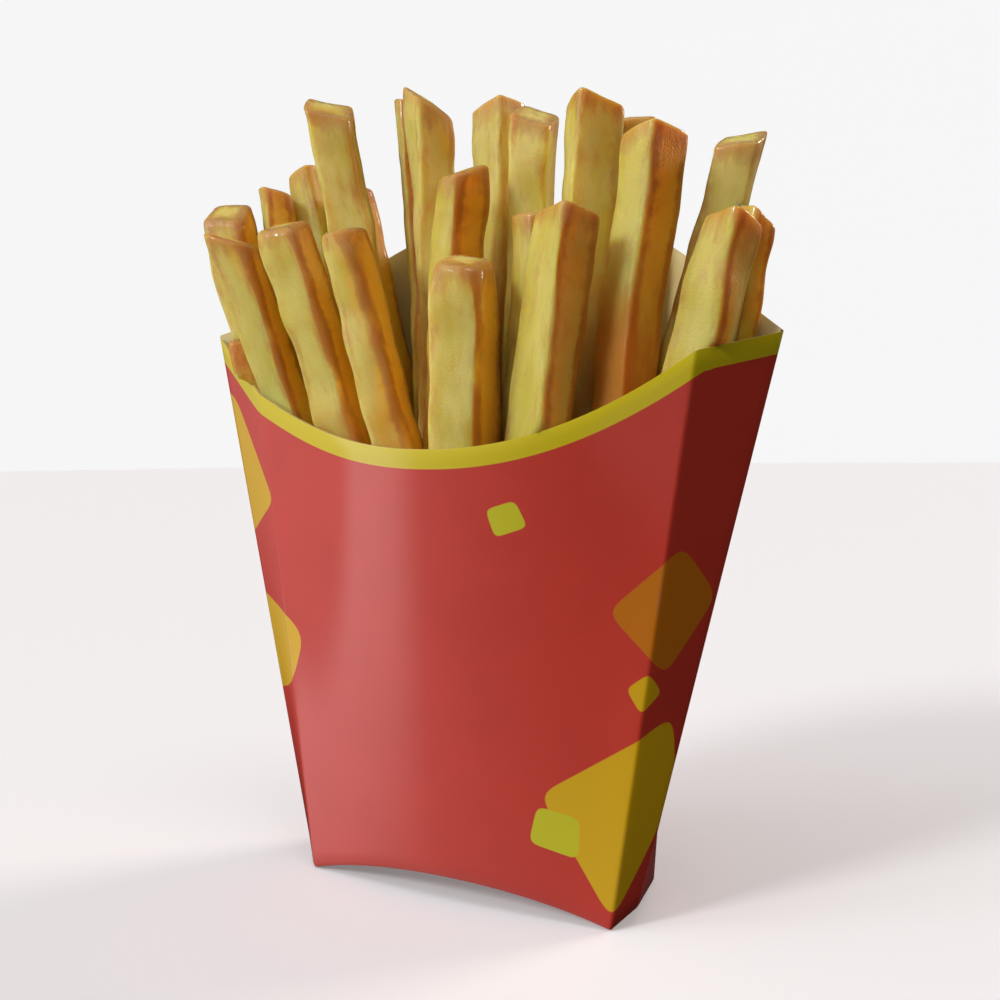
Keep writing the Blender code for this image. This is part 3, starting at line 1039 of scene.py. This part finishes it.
def core_shape():
    """The inside of the carton up to a lumpy top, in millimetres."""
    core = bmesh.new()
    gap = BOARD + CORE_GAP
    rings = []
    for step in range(CORE_STEPS + 1):
        z = mix(BASE_ARCH + gap, CORE_TOP, step / CORE_STEPS)
        line = np.concatenate((outline(z, 1)[:-1], outline(z, -1)[:0:-1]))
        reach = np.abs(line).max(0)
        ring = line * (1 - gap / reach)
        rings.append([core.verts.new((x, y, z)) for x, y in ring])
    for step in range(1, CORE_TOP_STEPS):
        ring = []
        for vert in rings[CORE_STEPS]:
            x, y = vert.co.xy * (1 - step / CORE_TOP_STEPS)
            lump = noise.noise(Vector((x, y, 0.0)) / CORE_LUMP_SIZE)
            ring.append(core.verts.new((x, y, CORE_TOP + CORE_LUMP_DEPTH * lump)))
        rings.append(ring)
    for low, high in zip(rings, rings[1:]):
        for index in range(len(low)):
            after = (index + 1) % len(low)
            core.faces.new((low[index], low[after], high[after], high[index]))
    core.faces.new(rings[0][::-1])
    core.faces.new(rings[-1])
    bmesh.ops.recalc_face_normals(core, faces=core.faces)
    return core


def build_core():
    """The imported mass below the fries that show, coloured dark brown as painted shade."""
    core = core_shape()
    put_in_place(core)
    mesh = bpy.data.meshes.new("shaded_packed_core")
    core.to_mesh(mesh)
    core.free()
    shader = Shader("shaded_packed_core")
    object_place = shader.object_place()
    cloud = shader.noise(object_place, 160.0, 4.0)
    # Dark brown throughout: painted shade for the packed fries deep in the carton.
    colour = shader.blend(cloud, (0.3, 0.13, 0.02), (0.45, 0.24, 0.04))
    mesh.materials.append(shader.finish(colour, 0.6, shader.bump(cloud, 0.6, 0.002)))
    piece = new_piece("shaded_packed_core", mesh)
    return piece


# ---------------------------------------------------------------- stage


def add_camera():
    place = Vector(CAMERA_PLACE) * MM
    forward = (Vector(CAMERA_TARGET) * MM - place).normalized()
    right = forward.cross(Vector((0, 0, 1))).normalized()
    up = right.cross(forward)
    roll = radians(CAMERA_ROLL)
    rolled_right = right * cos(roll) + up * sin(roll)
    rolled_up = up * cos(roll) - right * sin(roll)
    turn = Matrix((rolled_right, rolled_up, -forward)).transposed()
    data = bpy.data.cameras.new("Camera")
    data.lens = CAMERA_LENS
    data.sensor_width = SENSOR_WIDTH
    data.clip_start = 0.01
    camera = bpy.data.objects.new("Camera", data)
    camera.matrix_world = Matrix.Translation(place) @ turn.to_4x4()
    bpy.context.scene.collection.objects.link(camera)
    bpy.context.scene.camera = camera


def add_sun(name, azimuth, elevation, power, spread, colour):
    """A far soft light, its azimuth in degrees from -Y towards +X."""
    data = bpy.data.lights.new(name, "SUN")
    data.energy = power
    data.angle = radians(spread)
    data.color = colour
    light = bpy.data.objects.new(name, data)
    out = Vector((sin(radians(azimuth)), -cos(radians(azimuth)), tan(radians(elevation))))
    light.rotation_euler = out.to_track_quat("Z", "Y").to_euler()
    bpy.context.scene.collection.objects.link(light)
    return light


def add_glow(fries):
    """A weak fill on the fries alone, for the light that passes through and between them."""
    lit = bpy.data.collections.new("Fries lit by the glow")
    for piece in fries:
        lit.objects.link(piece)
    glow = add_sun(*GLOW)
    glow.light_linking.receiver_collection = lit


def azimuth_window(shader, azimuth, rise, fall):
    """1 between two azimuths, eased up from 0 over the first pair of degrees and down over the second."""
    risen = shader.ramp(azimuth, radians(rise[0]), radians(rise[1]))
    return shader.math("MULTIPLY", risen, shader.ramp(azimuth, radians(fall[1]), radians(fall[0])))


def add_world():
    """Dim all round, bright at the left, with a tall strip light there and a small one at the front."""
    world = bpy.data.worlds.new("World")
    world.use_nodes = True
    tree = world.node_tree
    shader = NodeTree(tree)
    x, y, z = shader.split(shader.node("ShaderNodeTexCoord").outputs["Generated"])
    azimuth = shader.math("ARCTAN2", x, shader.math("MULTIPLY", y, -1.0))
    left = azimuth_window(shader, azimuth, (-115, -80), (-50, 30))
    top = shader.ramp(z, 0.35, 1.0)
    tall = azimuth_window(shader, azimuth, (-64, -58), (-48, -32))
    tall = shader.math("MULTIPLY", tall, shader.ramp(z, -0.7, -0.1))
    small = azimuth_window(shader, azimuth, (10, 14), (20, 24))
    small = shader.math("MULTIPLY", small, shader.ramp(z, -0.16, -0.06))
    strength = WORLD_DIM
    for mask, power in (
        (left, WORLD_LEFT),
        (top, WORLD_TOP),
        (tall, WORLD_TALL_STRIP),
        (small, WORLD_SMALL_STRIP),
    ):
        strength = shader.math("MULTIPLY_ADD", mask, power, strength)
    background = tree.nodes["Background"]
    background.inputs["Color"].default_value = WORLD_COLOUR
    tree.links.new(strength, background.inputs["Strength"])
    bpy.context.scene.world = world


def add_floor():
    bpy.ops.mesh.primitive_circle_add(vertices=96, radius=STAGE_RADIUS, fill_type="NGON")
    floor = bpy.context.object
    floor.name = "floor"
    shader = Shader("pale_floor")
    floor.data.materials.append(
        shader.finish(FLOOR_COLOUR, 0.9, Emission_Color=(1.0, 1.0, 1.0, 1.0), Emission_Strength=FLOOR_GLOW)
    )
    floor.visible_diffuse = False
    floor.visible_glossy = False


def add_backdrop():
    """A pale dome behind everything, which shows but lights nothing."""
    bpy.ops.mesh.primitive_uv_sphere_add(segments=64, ring_count=32, radius=STAGE_RADIUS)
    dome = bpy.context.object
    dome.name = "backdrop"
    shader = Shader("pale_backdrop")
    dome.data.materials.append(
        shader.finish((0.0, 0.0, 0.0, 1.0), 1.0, Emission_Color=BACKDROP_COLOUR, Emission_Strength=1.0)
    )
    for kind in ("diffuse", "glossy", "transmission", "volume_scatter", "shadow"):
        setattr(dome, "visible_" + kind, False)


def main():
    add_camera()
    add_floor()
    add_backdrop()
    for light in LIGHTS:
        add_sun(*light)
    add_world()
    build_carton()
    add_glow(build_fries())
    bpy.context.scene.view_settings.view_transform = "Standard"


main()
